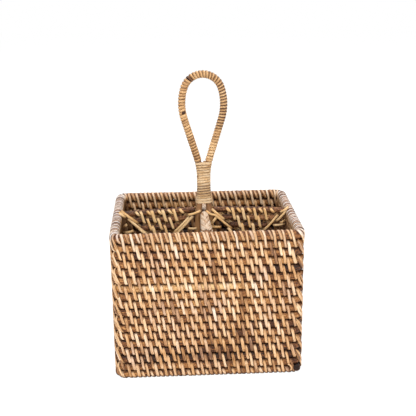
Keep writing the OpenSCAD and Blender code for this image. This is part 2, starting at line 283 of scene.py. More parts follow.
def fibre_material(name, stops, streak, blotch, roughness, bump, mottle=0.3):
    """A cane finish whose streaks run along the "grain" attribute.

    streak and blotch are (size along, size across) in millimetres, mottle is
    the weight of the speckle. The tone attribute makes each strip or cane
    lighter or darker, the fade attribute bleaches it and also carries the
    painted sheen on top of the rims, and the shade attribute holds painted
    shade, how deep in a crevice or inside the basket the surface lies, and
    the dark bark of the handle's bindings.
    """
    material = bpy.data.materials.new(name)
    material.use_nodes = True
    tree = material.node_tree
    tree.nodes.clear()
    grain, tone, soil, faded_and_sheen = (
        add_node(tree, "ShaderNodeAttribute", {"attribute_name": layer})
        for layer in ("grain", "tone", "soil", "faded_and_sheen")
    )
    # the noises and the strip's own tone add up to a place on the ramp; a noise
    # averages 0.5, so half of each weight is taken off again
    fine_streak = (streak[0] * 0.5, streak[1] * 0.35)
    noises = []
    place, excess = tone.outputs["Fac"], 0.0
    for (along, across), detail, rough, weight in (
        (streak, 3.0, 0.6, 0.9),
        (fine_streak, 2.0, 0.6, 0.5),
        (blotch, 2.0, 0.5, 0.8),
        (SPECKLE, 1.0, 0.5, mottle),
    ):
        scaled = add_node(
            tree, "ShaderNodeVectorMath",
            {"operation": "MULTIPLY", 1: (1 / (along * MM), 1 / (across * MM), 1 / (across * MM))},
            {0: grain.outputs["Vector"]},
        )
        texture = add_node(
            tree, "ShaderNodeTexNoise", {"Scale": 1.0, "Detail": detail, "Roughness": rough},
            {"Vector": scaled.outputs[0]},
        )
        noises.append(texture.outputs[0])
        added = add_node(
            tree, "ShaderNodeMath", {"operation": "MULTIPLY_ADD", 1: weight},
            {0: texture.outputs[0], 2: place},
        )
        place = added.outputs[0]
        excess += weight / 2
    level = add_node(tree, "ShaderNodeMath", {"operation": "SUBTRACT", 1: excess}, {0: place})
    ramp, pale = (
        add_node(tree, "ShaderNodeValToRGB", {}, {"Fac": level.outputs[0]}) for _ in range(2)
    )
    ramp_stops(ramp, stops)
    ramp_stops(pale, FADED_AND_SHEEN)
    body = add_node(
        tree, "ShaderNodeMix", {"data_type": "RGBA"},
        {0: faded_and_sheen.outputs["Fac"], 6: ramp.outputs["Color"], 7: pale.outputs["Color"]},
    )
    # multiplies in the painted shade and the dark bark
    shade_and_bark_mix = add_node(
        tree, "ShaderNodeMix",
        {"data_type": "RGBA", "blend_type": "MULTIPLY", 7: colour(SHADE_AND_BARK_COLOUR)},
        {0: soil.outputs["Fac"], 6: body.outputs[2]},
    )
    streaks, fine, blotches, _ = noises
    height = add_node(tree, "ShaderNodeMath", {"operation": "ADD"}, {0: streaks, 1: fine})
    relief = add_node(
        tree, "ShaderNodeBump", {"Strength": 0.6, "Distance": bump * MM},
        {"Height": height.outputs[0]},
    )
    gloss_range = add_node(
        tree, "ShaderNodeMapRange", {"To Min": roughness - 0.1, "To Max": roughness + 0.12},
        {"Value": blotches},
    )
    shader = add_node(
        tree, "ShaderNodeBsdfPrincipled", {"IOR": 1.45, "Specular IOR Level": 0.3},
        {
            "Base Color": shade_and_bark_mix.outputs[2], "Roughness": gloss_range.outputs[0],
            "Normal": relief.outputs[0],
        },
    )
    add_node(tree, "ShaderNodeOutputMaterial", {}, {"Surface": shader.outputs[0]})
    return material


def make_materials():
    """The caddy's finishes, by name."""
    finish = settings()[2]
    return {
        # rattan canes, stained and smoked: brown with long pale rubs, dull,
        # with a soft sheen along the round
        "core": fibre_material(
            "Stained rattan cane",
            [
                (0.0, "#2c170b"), (0.22, finish.core_dark), (0.5, finish.core_mid),
                (0.78, finish.core_light), (1.0, "#eac38d"),
            ],
            streak=(22, 1.1), blotch=(34, 9), roughness=0.55, bump=0.25, mottle=0.95,
        ),
        # the same canes where little light reaches them, drawn darker as painted shade, and less
        # rubbed: dark brown
        "dark_core": fibre_material(
            "Dark rattan cane",
            [
                (0.0, "#28160b"), (0.28, "#54321d"), (0.48, "#936240"),
                (0.64, "#bd8857"), (0.84, "#e0b584"),
            ],
            streak=(18, 1.0), blotch=(30, 8), roughness=0.5, bump=0.25, mottle=0.8,
        ),
        # the handle's bare legs: smooth red-brown bark
        "pole": fibre_material(
            "Rattan pole with its bark",
            [
                (0.0, "#4f3220"), (0.25, "#80583a"), (0.5, "#a0734a"),
                (0.8, "#b98a5c"), (1.0, "#cfa477"),
            ],
            streak=(30, 1.2), blotch=(26, 6), roughness=0.45, bump=0.15,
        ),
        # split outer skin of rattan, bound wet: satin, straw to golden, each
        # strip with its own shade
        "strip": fibre_material(
            "Split rattan binding",
            [
                (0.0, "#6a4a35"), (0.22, finish.strip_dark), (0.5, finish.strip_mid),
                (0.8, finish.strip_light), (1.0, "#fbe0c0"),
            ],
            streak=(14, 0.8), blotch=(16, 3), roughness=0.42, bump=0.12,
        ),
        # the same skin where the sun never reached it, round the dividers
        "tie": fibre_material(
            "Golden split rattan",
            [
                (0.0, "#5e3c22"), (0.22, "#9f693d"), (0.5, "#e6af6e"),
                (0.8, "#fccf92"), (1.0, "#ffdaa6"),
            ],
            streak=(14, 0.8), blotch=(12, 3), roughness=0.42, bump=0.12,
        ),
        # binding cane of the handle: narrow, even and golden, polished by hands
        "wrap": fibre_material(
            "Golden rattan binding",
            [
                (0.0, "#3a2011"), (0.2, "#7d5230"), (0.5, "#cf9f69"),
                (0.8, "#f2c891"), (1.0, "#ffdfb3"),
            ],
            streak=(14, 0.9), blotch=(9, 4), roughness=0.4, bump=0.1,
        ),
    }


# ---------------------------------------------------------------------------
# Tubes bent along a route
# ---------------------------------------------------------------------------


def round_profile(sides):
    """Corners (across, up) of a round section of unit radius."""
    return [(math.cos(k * TURN / sides), math.sin(k * TURN / sides)) for k in range(sides)]


# a split strip: flat below, crowned above; across in widths, up in thicknesses
STRIP_PROFILE = [(0.5, 0.3), (0.32, 0.88), (0.0, 1.0), (-0.32, 0.88), (-0.5, 0.3), (0.0, 0.0)]

# the handle's binding, a rounder strip
WRAP_PROFILE = [
    (0.5, 0.1), (0.42, 0.55), (0.24, 0.9), (0.0, 1.0),
    (-0.24, 0.9), (-0.42, 0.55), (-0.5, 0.1), (0.0, 0.0),
]


def edge_shade(edge, shoulder):
    """Painted shade of a strip: what its station says, and painted shade along its edges."""

    def shade_and_bark_of(station, a, u):
        line = edge if abs(a) > 0.45 else shoulder if abs(a) > 0.3 else 0.0
        return max(station.soil, line)

    return shade_and_bark_of


# painted shade lines along the edges of strips: faint on the walls, dark on the rim and the beams
strip_edge_shade = edge_shade(0.5, 0.0)
rim_edge_shade = edge_shade(1.0, 0.3)
braid_edge_shade = edge_shade(1.0, 0.35)


def wrap_groove_shade_and_bark(station, a, u):
    """Painted shade in the grooves of a binding.

    A station's own value is dark bark: it darkens one side and deepens the groove's shade.
    """
    groove = 0.2 + 0.4 * station.soil if abs(a) > 0.45 else 0.1 if abs(a) > 0.4 else 0.0
    return max(groove, station.soil * (0.95 if a < -0.2 else 0.3 if a < 0.1 else 0.0))


def attribute_layers(bm):
    """The layers of grain, tone, painted shade and bark, and fading and sheen.

    They are made where they're missing.
    """
    floats = bm.verts.layers.float
    vectors = bm.verts.layers.float_vector
    return (
        vectors.get("grain") or vectors.new("grain"),
        floats.get("tone") or floats.new("tone"),
        floats.get("soil") or floats.new("soil"),
        floats.get("faded_and_sheen") or floats.new("faded_and_sheen"),
    )


# one ring of a tube: its place, its axes, its size and its shade
Station = namedtuple(
    "Station", "at across up wide high along tone soil fade", defaults=(0.5, 0.0, 0.0)
)


def bent_tube(stations, profile, seed=0.0, shade_and_bark_of=None):
    """A capped tube with a ring at each station and a corner at each profile point."""
    bm = bmesh.new()
    sides = len(profile)
    rings = len(stations)
    bmesh.ops.create_cone(
        bm, cap_ends=True, cap_tris=False, segments=sides, radius1=1, radius2=1, depth=1
    )
    lengthwise = [e for e in bm.edges if abs(e.verts[0].co.z - e.verts[1].co.z) > 0.5]
    bmesh.ops.subdivide_edges(bm, edges=lengthwise, cuts=rings - 2, use_grid_fill=True)
    grain, tone, soil, faded_and_sheen = attribute_layers(bm)
    for vert in bm.verts:
        x, y, z = vert.co
        s = stations[round((z + 0.5) * (rings - 1))]
        corner = profile[round(math.atan2(x, y) / TURN * sides) % sides]
        a, u = corner[0] * s.wide, corner[1] * s.high
        vert.co = s.at + s.across * a + s.up * u
        vert[grain] = (s.along + seed, a, u)
        vert[tone] = s.tone
        vert[soil] = s.soil if shade_and_bark_of is None else shade_and_bark_of(s, a / s.wide, u / s.high)
        vert[faded_and_sheen] = s.fade
    bmesh.ops.recalc_face_normals(bm, faces=bm.faces)
    return bm


def join(parts):
    """One bmesh from several, which are freed."""
    whole = bmesh.new()
    attribute_layers(whole)
    for part in parts:
        mesh = bpy.data.meshes.new("part")
        part.to_mesh(mesh)
        part.free()
        whole.from_mesh(mesh)
        bpy.data.meshes.remove(mesh)
    return whole


def soft_spot(spot, x, z, wide, high):
    """1 at a place on the front, falling to 0 at wide to the side or high above."""
    reach = math.hypot((spot.x / MM - x) / wide, (spot.z / MM - z) / high)
    return max(0.0, 1 - reach**2) ** 1.5


def bleach_and_rim_sheen(spot, fade):
    """How pale the cane is drawn: bleached in patches where a strip is ready to
    fade, and a painted sheen on top of the rims, most of all on the side rims.

    fade is how ready a strip is to pale in the sun; where it lies decides the rest.
    """
    if spot.z > RIM_TOP + 2 * MM:
        return 0.05
    high = clamp((spot.z - RIM_Z + 3 * MM) / (7 * MM))
    side = clamp((abs(spot.x) - RING_X + 8 * MM) / (5 * MM))
    if max(abs(spot.x) - RING_X, abs(spot.y) - RING_Y) < 0 and high < 0.7:
        return 0.1 * high
    patch = noise.noise(Vector((spot.x, spot.y, spot.z * 1.5)) / (34 * MM) + Vector((3, 5, 8)))
    ready = fade * min(0.5, max(0.0, 0.3 + 0.5 * patch))
    # painted sheen on top of the rims, strongest on the side rims
    rim = high * (0.14 + side * (0.5 + 0.36 * min(1, 3 * fade)))
    return min(1.0, rim + ready)


def never_faded(spot, fade):
    return 0.0


def tone_patches_and_rim_light(spot, tone):
    """How much darker or lighter cane of this tone is drawn at a place.

    Patches make one pale cane, a dark stain, darker places mostly low on the
    walls and a lighter band under the rim. On the side rims it paints
    highlights and shade.

    (x, z, half width, half height, amount) of each patch, in millimetres.
    """
    if spot.z > RIM_TOP:
        return 0.0
    if spot.z > RIM_Z and abs(spot.x) > RING_X - 7 * MM:
        # on the side rims the pale turns are drawn paler and the dark ones darker: painted
        # highlights and painted shade on the ribs
        return 1.9 * tone - 0.85
    change = 0.0
    for x, z, wide, high, amount in (
        (-30, 106, 100, 15, 0.08),
        (-34, 104, 96, 5, 0.16),
        (66, 117, 60, 13, -0.2),
        (-22, 25, 88, 14, -0.26),
        (0, 40, 160, 34, -0.06),
        (60, 30, 80, 16, -0.07),
        (104, 36, 34, 36, -0.16),
        (92, 10, 16, 11, -0.25),
        (-72, 78, 34, 12, -0.1),
        (-10, 152, 140, 9, 0.09),
    ):
        change += amount * soft_spot(spot, x, z, wide, high)
    return change


def depth_inside(spot):
    """The weight of painted shade inside the basket.

    1 deep down on the walls' inner faces and on the floor, 0 outside and at the rim.
    """
    inside = min(RING_X - abs(spot.x), RING_Y - abs(spot.y))
    if inside < 1.5 * MM or (inside > 9 * MM and spot.z > 12 * MM):
        return 0.0
    start, reach = 12, 16
    if abs(spot.x) > RING_X - 9 * MM:
        # the light comes from the left, so the left wall is dark up to its rim
        start, reach = (-2, 5) if spot.x < 0 else (1, 11)
    return clamp((RIM_Z - start * MM - spot.z) / (reach * MM))


def finish_piece(name, bm, material, nodes=(), bleach_and_sheen=bleach_and_rim_sheen):
    """Makes the bmesh a smooth-shaded piece that rides on the caddy's one body."""
    _, tone, soil, faded_and_sheen = attribute_layers(bm)
    for vert in bm.verts:
        # painted shade deep inside the basket darkens the cane
        shade = depth_inside(vert.co)
        vert[tone] += 0.06 * vert[faded_and_sheen]
        # painted shade and the crevices keep the bleach and the painted sheen off
        vert[faded_and_sheen] = bleach_and_sheen(vert.co, vert[faded_and_sheen]) * (1 - shade) * (1 - 0.65 * vert[soil])
        vert[tone] += tone_patches_and_rim_light(vert.co, vert[tone]) - 0.18 * shade
        # painted shadow along the foot, where it stands on the table
        foot = clamp((3.4 * MM - vert.co.z) / (2.2 * MM))
        vert[soil] = max(vert[soil], 0.68 * shade, 0.9 * foot)
    mesh = bpy.data.meshes.new(name)
    bm.to_mesh(mesh)
    bm.free()
    mesh.shade_smooth()
    mesh.materials.append(material)
    piece = bpy.data.objects.new(name, mesh)
    bpy.context.scene.collection.objects.link(piece)
    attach(piece, "root")
    if nodes:
        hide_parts(*nodes)
    return piece


# ---------------------------------------------------------------------------
# The ring of the walls
# ---------------------------------------------------------------------------


def ring_at(s):
    """Point and outward direction on the walls' centreline.

    s runs anticlockwise from the front centre.
    """
    s %= FULL_RING
    turned = s >= HALF_RING
    if turned:
        s -= HALF_RING
    if s < SIDE_X:
        x, y, a = s, -RING_Y, 0.0
    elif s < SIDE_X + BEND_L:
        a = (s - SIDE_X) / BEND_R
        x, y = SIDE_X + BEND_R * math.sin(a), -SIDE_Y - BEND_R * math.cos(a)
    elif s < SIDE_X + BEND_L + 2 * SIDE_Y:
        x, y, a = RING_X, s - SIDE_X - BEND_L - SIDE_Y, math.pi / 2
    elif s < SIDE_X + 2 * BEND_L + 2 * SIDE_Y:
        b = (s - SIDE_X - BEND_L - 2 * SIDE_Y) / BEND_R
        x, y, a = SIDE_X + BEND_R * math.cos(b), SIDE_Y + BEND_R * math.sin(b), math.pi / 2 + b
    else:
        x, y, a = 2 * SIDE_X + 2 * BEND_L + 2 * SIDE_Y - s, RING_Y, math.pi
    if turned:
        x, y, a = -x, -y, a + math.pi
    return Vector((x, y, 0)), Vector((math.sin(a), -math.cos(a), 0))


def bend_share(s):
    """1 on the outer half of each bend of the walls, 0 on the flats."""
    s %= HALF_RING
    # how far round the bend, from the long wall
    turned = min(s, HALF_RING - s) - SIDE_X
    return min(
        1.0,
        max(0.0, (turned - 3.5 * MM) / (3.5 * MM)),
        max(0.0, (BEND_L + 6 * MM - turned) / (4 * MM)),
    )


def wander(course, s):
    """How far a course leaves its straight line at s: (outward, up)."""
    weave = settings()[0]
    a = s / FULL_RING * TURN
    where = Vector((math.cos(a), math.sin(a), 0)) * (FULL_RING / TURN / 0.035)
    out = noise.noise(where + Vector((0, 0, course * 3.7)))
    up = noise.noise(where * 0.6 + Vector((0, 0, course * 0.12 + 40)))
    return weave.wave * (out * 0.8 - 0.5), weave.wave * up


def ring_cane(course, radius, z, name, nodes, low=None, crown=False):
    """A cane bent once round the basket, butted where its ends meet at the back.

    It is squeezed flat enough by the lashing to close the gap to its neighbours.
    crown says that nothing lies on it.
    """
    rng = random.Random(course * 17 + 3)
    start = HALF_RING + rng.uniform(-0.7, 0.7) * SIDE_X
    step = 2.6 * MM
    count = round(FULL_RING / step)
    shade = 0.36 if crown else rng.uniform(0.27, 0.5)
    stations = []
    for k in range(count + 1):
        s = start + (FULL_RING - BUTT_GAP) * k / count
        point, outward = ring_at(s)
        out, up = wander(course, s)
        swell = 1 + 0.025 * noise.noise(Vector((s / 0.03, course * 5.1, 0)))
        drift = 0.16 * noise.noise(Vector((s / 0.06, course * 2.3, 7)))
        # one cane is straw yellow over most of its way
        drift += 0.4 * soft_spot(point + UP * z, -34, 104, 100, 6) ** 0.5
        stations.append(
            Station(
                point + outward * out + UP * (z + up), outward, UP,
                radius * swell, radius + COURSE_SQUEEZE, s - start, shade + drift,
            )
        )

    # painted shade in the crevices between the canes, deeper on the inner side, none on the rim
    # cane's crown
    def crevice(station, a, u):
        if crown and u > 0:
            return 0.0
        start = 0.5 if a > 0 else 0.3
        return 0.85 * clamp((abs(u) - start) / 0.4) ** 1.5

    bm = bent_tube(stations, round_profile(12), seed=course * 3.1, shade_and_bark_of=crevice)
    if low is not None:
        keep_above(bm, low)
    bleach_and_sheen = never_faded if crown else bleach_and_rim_sheen
    return finish_piece(name, bm, MATERIALS["core"], nodes, bleach_and_sheen)


def laid_stations(points, facing, looks):
    """Stations of a strip through points, with its crown towards facing.

    looks holds (width, thickness, tone, painted shade, fade) for each point.
    """
    stations = []
    along = 0.0
    last = len(points) - 1
    for k, (point, (width, thickness, *shades)) in enumerate(zip(points, looks)):
        heading = (points[min(k + 1, last)] - points[max(k - 1, 0)]).normalized()
        across = heading.cross(facing[k]).normalized()
        normal = across.cross(heading).normalized()
        if k:
            along += (point - points[k - 1]).length
        stations.append(Station(point, across, normal, width, thickness, along, *shades))
    return stations


def loop_outline(upper, lower, gap, arc_steps, side_steps):
    """Stations round two canes, as (out, up, normal out, normal up, face, cross).

    upper and lower are (height, radius). It starts on the crown of the upper
    cane, goes down outside, under the lower cane and up inside. face is the
    share of the way down outside plus that up inside, cross is the share of
    the ways over and under.
    """
    (zu, ru), (zl, rl) = upper, lower
    ru, rl = ru + gap, rl + gap
    route = []
    for k in range(arc_steps):
        a = math.pi / 2 * k / arc_steps
        route.append((ru * math.sin(a), zu + ru * math.cos(a), math.sin(a), math.cos(a)))
    if zu == zl:
        side_steps = 0
    for k in range(side_steps + 1):
        t = k / max(1, side_steps)
        route.append((ru + (rl - ru) * t, zu + (zl - zu) * t, 1.0, 0.0))
    for k in range(1, arc_steps + 1):
        a = math.pi / 2 * k / arc_steps
        route.append((rl * math.cos(a), zl - rl * math.sin(a), math.cos(a), -math.sin(a)))
    top, bottom = zu + ru, zl - rl
    outside = []
    for o, z, no, nz in route:
        angle = math.acos(min(1.0, no)) / math.pi
        cross = -angle if nz > 0 else angle
        outside.append((o, z, no, nz, (top - z) / (top - bottom), cross))
    inside = [
        (-o, z, -no, nz, 2 - face, 1 - cross) for o, z, no, nz, face, cross in outside[-2:0:-1]
    ]
    return outside + inside


# a turn of a lashing advances this much further inside than outside
INSIDE_SHARE = 1.2


def lashing(
    place, length, turns, upper, lower, phase, lean, seed, tone_of,
    closed=True, arc_steps=5, side_steps=3, crown=False, corner=0.0,
):
    """A strip wound round two canes, turn after turn.

    place(s, out, up) gives (point, outward, upward) for unrolled coordinates.
    tone_of(rng) shades each turn. corner is how much further a turn leans on
    the bends, outside only.
    """
    weave = settings()[0]
    rng = random.Random(seed)
    outline = loop_outline(upper, lower, weave.strip_gap, arc_steps, side_steps)
    pitch = length / turns
    jogs = [rng.uniform(-1, 1) * weave.hand for _ in range(turns + 1)]
    # advance down the outside, width, tone and readiness to fade of each turn
    hands = [
        (
            lean + rng.uniform(-0.9, 0.9) * weave.hand,
            weave.strip_width * rng.uniform(0.84, 1.12),
            tone_of(rng),
            rng.random() ** 1.5,
        )
        for _ in range(turns + 1)
    ]
    if closed:
        jogs[-1], hands[-1] = jogs[0], hands[0]
    points, normals, looks = [], [], []
    for turn in range(turns):
        a, b = turn * pitch + jogs[turn], (turn + 1) * pitch + jogs[turn + 1]
        # over and under the canes it advances the rest
        down = hands[turn][0]
        across = (b - a - down * (1 + INSIDE_SHARE)) / 2
        for out, up, normal_out, normal_up, face, cross in outline:
            mix = max(0.0, face - 1)
            s = a + across * cross + down * (min(face, 1) + INSIDE_SHARE * mix)
            if corner:
                s += corner * bend_share(phase + s) * (min(face, 1) - mix - 0.5)
            _, width, tone, fade = blend(hands[turn], hands[turn + 1], mix)
            # painted shade where the strip turns into the crevices, none on the rim's crown
            shade = clamp((abs(normal_up) - 0.5) / 0.4)
            if crown and normal_up > 0:
                shade = 0.0
            point, outward, upward = place(phase + s, out, up)
            points.append(point)
            normals.append(outward * normal_out + upward * normal_up)
            looks.append((width, weave.strip_thickness, tone, shade, fade))
    stations = laid_stations(points, normals, looks)
    return bent_tube(
        stations, STRIP_PROFILE, seed=seed * 1.37, shade_and_bark_of=rim_edge_shade if crown else strip_edge_shade
    )


def wall_place(lower_course, upper_course, z_low, z_high):
    """Unrolled coordinates to the basket's wall, following both canes' wander."""

    def place(s, out, up):
        point, outward = ring_at(s)
        share = clamp((up - z_low) / (z_high - z_low))
        drift_out, drift_up = blend(wander(lower_course, s), wander(upper_course, s), share)
        return point + outward * (out + drift_out) + UP * (up + drift_up), outward, UP

    return place


def corner_turns(place, upper, lower, first, pitch, seed):
    """The extra strips that fill the bends outside, between a lashing's own turns."""
    weave = settings()[0]
    rng = random.Random(seed)
    outline = loop_outline(upper, lower, weave.strip_gap, 5, 3)
    parts = []
    for turn in range(weave.turns):
        mid = first + turn * pitch + weave.lean_outside / 2
        share = bend_share(mid)
        if share < 0.5:
            continue
        lean = weave.lean_outside + weave.lean_corner * share
        mid += rng.uniform(-0.4, 0.4) * weave.hand
        points, normals = [], []
        for out, up, normal_out, normal_up, face, _ in outline[: len(outline) // 2 + 1]:
            point, outward, upward = place(mid + lean * (face - 0.5), out, up)
            points.append(point)
            normals.append(outward * normal_out + upward * normal_up)
        parts.append(
            loose_strip(
                points, normals, weave.strip_width * rng.uniform(0.85, 1.05),
                weave.strip_thickness, rng.uniform(0.3, 0.85), seed + turn * 0.37, steps=1,
                end_shade=0.8,
            )
        )
    return parts


def keep_above(bm, low):
    for vert in bm.verts:
        vert.co.z = max(vert.co.z, low)


# ---------------------------------------------------------------------------
# Straight canes and loose strips
# ---------------------------------------------------------------------------


def straight_cane(start, end, radius, seed, shade, sides=12, uneven=0.02):
    """A cane from start to end, a little uneven along its length."""
    run = end - start
    count = max(4, round(run.length / (3 * MM)))
    forward = run.normalized()
    across = forward.cross(UP)
    if across.length < 0.1:
        across = forward.cross(Vector((0, 1, 0)))
    across.normalize()
    up = across.cross(forward).normalized()
    stations = []
    for k in range(count + 1):
        s = run.length * k / count
        size = radius * (1 - uneven * (0.5 + 0.5 * noise.noise(Vector((s / 0.02, seed, 0)))))
        drift = 0.14 * noise.noise(Vector((s / 0.04, seed, 5)))
        stations.append(Station(start + forward * s, across, up, size, size, s, shade + drift))
    return bent_tube(stations, round_profile(sides), seed=seed)


def smooth_route(points, steps):
    """Points on a Catmull-Rom curve through the given points."""
    knots = [points[0] * 2 - points[1], *points, points[-1] * 2 - points[-2]]
    route = []
    for a, b, c, d in zip(knots, knots[1:], knots[2:], knots[3:]):
        for k in range(steps):
            t = k / steps
            route.append(
                b
                + (c - a) * (t / 2)
                + (a - b * 2.5 + c * 2 - d * 0.5) * t**2
                + (b * 1.5 - a * 0.5 - c * 1.5 + d * 0.5) * t**3
            )
    route.append(points[-1].copy())
    return route


def loose_strip(
    points, normals, width, thickness, tone, seed, steps=4, end_shade=0.5, shade_and_bark_of=strip_edge_shade
):
    """A strip that lies along points, with its crown towards normals."""
    route = smooth_route(points, steps)
    last = len(route) - 1
    # painted shade towards both ends, where the strip goes under
    looks = [
        (width, thickness, tone, end_shade * abs(2 * k / last - 1) ** 6) for k in range(last + 1)
    ]
    stations = laid_stations(route, smooth_route(normals, steps), looks)
    return bent_tube(stations, STRIP_PROFILE, seed=seed, shade_and_bark_of=shade_and_bark_of)


# ---------------------------------------------------------------------------
# The dividers
# ---------------------------------------------------------------------------

WEB_ROWS = sum(n.startswith("left_divider_rod_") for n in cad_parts)
WEB_R = node_size("left_divider_rod_1").y / 2


def web_ends(side, row):
    """Centres of a divider cane's ends, (at the wall, at the handle)."""
    low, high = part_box(f"{side}_divider_rod_{row}")
    sign = -1 if side == "left" else 1
    wall_x = sign * max(abs(low.x), abs(high.x))
    leg_x = sign * min(abs(low.x), abs(high.x))
    # a cane that rises to the handle: its box is its length turned by the tilt
    tilt = math.atan2(high.z - low.z - 2 * WEB_R, high.x - low.x)
    lean = WEB_R * math.sin(tilt) * sign
    return (
        Vector((wall_x - lean, 0, low.z + WEB_R * math.cos(tilt))),
        Vector((leg_x + lean, 0, high.z - WEB_R * math.cos(tilt))),
    )


def web_place(side):
    """Unrolled coordinates to a divider: s from left to right, out to the front.

    up is measured from the top cane's axis.
    """
    ends = web_ends(side, 1)
    left, right = ends if side == "left" else ends[::-1]
    travel = (right - left).normalized()
    upward = Vector((-travel.z, 0, travel.x))

    def place(s, out, up):
        return left + travel * s + FRONT * out + upward * up, FRONT, upward

    return place


def web_length(side):
    wall, leg = web_ends(side, 1)
    return (wall - leg).length


# ---------------------------------------------------------------------------
# The handle's centreline
# ---------------------------------------------------------------------------

# the CAD gives the handle's cane 16 sides, and its box ends at their flats
FLAT_SHARE = math.cos(math.pi / 16)
POLE_R = node_size("handle_cane").y / 2 / FLAT_SHARE
LOOP_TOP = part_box("handle_cane")[1].z - POLE_R * FLAT_SHARE
NECK_X = POLE_R + 0.15 * MM

# the CAD leaves this room round the canes for the bindings, which are thinner
# and lie that much higher
BINDING = 1.1 * MM
WRAP_THICK = 0.72 * MM
WRAP_LIFT = BINDING - WRAP_THICK - 0.2 * MM


def handle_route():
    """The right half of the cane's centreline, from the top of the loop down.

    Returns ((x, z, heading, distance), ...) about a millimetre apart, heading
    being the turn from level, clockwise.
    """
    h = settings()[1]
    route = [(0.0, LOOP_TOP, 0.0, 0.0)]

    def arc(radius, turn):
        steps = max(2, round(radius * abs(turn) / (1.2 * MM)))
        x, z, a, s = route[-1]
        sign = 1 if turn > 0 else -1
        centre_x, centre_z = x - sign * radius * math.sin(a), z - sign * radius * math.cos(a)
        for k in range(1, steps + 1):
            b = a + turn * k / steps
            x, z = centre_x + sign * radius * math.sin(b), centre_z + sign * radius * math.cos(b)
            route.append((x, z, b, s + radius * abs(turn) * k / steps))

    def line(length):
        steps = max(2, round(length / (1.5 * MM)))
        x, z, a, s = route[-1]
        for k in range(1, steps + 1):
            t = length * k / steps
            route.append((x + t * math.cos(a), z - t * math.sin(a), a, s + t))

    arc(h.top_radius, h.hand_over)
    arc(h.side_radius, math.pi / 2 + h.taper - h.hand_over)
    x = route[-1][0]
    line((x - h.neck_radius * (1 - math.cos(h.taper)) - NECK_X) / math.sin(h.taper))
    arc(h.neck_radius, -h.taper)
    line(route[-1][1] - (RIM_TOP + h.splay_height))
    arc(h.splay_radius, -h.splay)
    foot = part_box("handle_cane")[0].z
    line((route[-1][1] - foot) / math.cos(h.splay) - POLE_R * math.tan(h.splay))
    return route


def route_at(route, s):
    """Point and outward normal of the loop at distance s from its top, right positive."""
    side = -1 if s < 0 else 1
    s = abs(s)
    low, high = 0, len(route) - 1
    while high - low > 1:
        half = (low + high) // 2
        if route[half][3] <= s:
            low = half
        else:
            high = half
    a, b = route[low], route[high]
    t = clamp((s - a[3]) / (b[3] - a[3]))
    x, z, turn, _ = blend(a, b, t)
    return Vector((side * x, 0, z)), Vector((side * math.sin(turn), 0, math.cos(turn)))


def route_x(route, z):
    """Half the distance between the two canes' centrelines at height z, below the loop."""
    for a, b in zip(route[::-1], route[-2::-1]):
        if b[1] >= z:
            t = (z - a[1]) / (b[1] - a[1])
            return a[0] + (b[0] - a[0]) * t
    return route[0][0]


# ---------------------------------------------------------------------------
# Operators
# ---------------------------------------------------------------------------

MATERIALS = {}


def strip_tone(rng):
    """Most strips are golden, some pale and a few brown."""
    pick = rng.random()
    if pick < 0.06:
        return rng.uniform(0.15, 0.28)
    if pick < 0.22:
        return rng.uniform(0.34, 0.46)
    if pick < 0.72:
        return rng.uniform(0.5, 0.66)
    return rng.uniform(0.66, 0.8)


def even_tone(low, high):
    return lambda rng: rng.uniform(low, high)


rim_tone = even_tone(0.32, 0.58)
pale_tone = even_tone(0.48, 0.8)
golden_tone = even_tone(0.6, 0.9)


class CADDY_OT_wall_canes(bpy.types.Operator):
    """Bends the canes of the walls and of the rim"""

    bl_idname = "caddy.wall_canes"
    bl_label = "Wall Canes"

    def execute(self, context):
        for i, node in enumerate(COURSES):
            low = WORN_FLAT if i == 0 else None
            ring_cane(i, ROD_R, ROD_Z[i], f"cane_course_{i + 1:02d}", [node], low)
        ring_cane(len(COURSES), RIM_R, RIM_Z, "cane_rim", ["rim_rod"], crown=True)
        return {"FINISHED"}


# the rim's own turns pass under it beside the turns of the course below
RIM_TURN_SHIFT = 1.2 * MM


def band_phase(band, pitch):
    """Where the first turn of a band's lashing starts: staggered by half a turn."""
    return (band % 2) * pitch / 2


class CADDY_OT_cane_end(bpy.types.Operator):
    """Sets the cut end of the lowest cane at the front right corner"""

    bl_idname = "caddy.cane_end"
    bl_label = "Cane End"

    def execute(self, context):
        tip = Vector((SIDE_X + 6.2 * MM, -0.9 * MM - RING_Y - ROD_R, ROD_Z[0] + 2.4 * MM))
        # (radius, depth behind the tip, darkness): the cut face shows rings
        rings = [
            (3.9, 6.5, 0.8), (3.9, 0.6, 0.8), (3.6, 0.1, 0.1),
            (2.9, 0.0, 0.1), (2.6, 0.6, 1.0), (2.2, 0.1, 0.2),
            (1.6, 0.1, 0.2), (1.3, 0.6, 1.0), (0.6, 0.3, 0.5),
        ]
        stations = [
            Station(
                tip + Vector((0, depth * MM, 0)), RIGHT, UP, radius * MM, radius * MM,
                -depth * MM, 0.2, soil,
            )
            for radius, depth, soil in rings
        ]
        stub = bent_tube(stations, round_profile(16), seed=41)
        finish_piece("cane_end", stub, MATERIALS["dark_core"])
        curl = [(-9.8, 4.9), (-7.5, 3.9), (-6.1, 1.7), (-5.9, -0.7), (-6.7, -2.5)]
        points = [tip + Vector((x, 0.2, z)) * MM for x, z in curl]
        strip = loose_strip(points, [FRONT] * len(points), 1.9 * MM, 0.5 * MM, 0.8, 12)
        finish_piece("loose_strip", strip, MATERIALS["strip"])
        return {"FINISHED"}


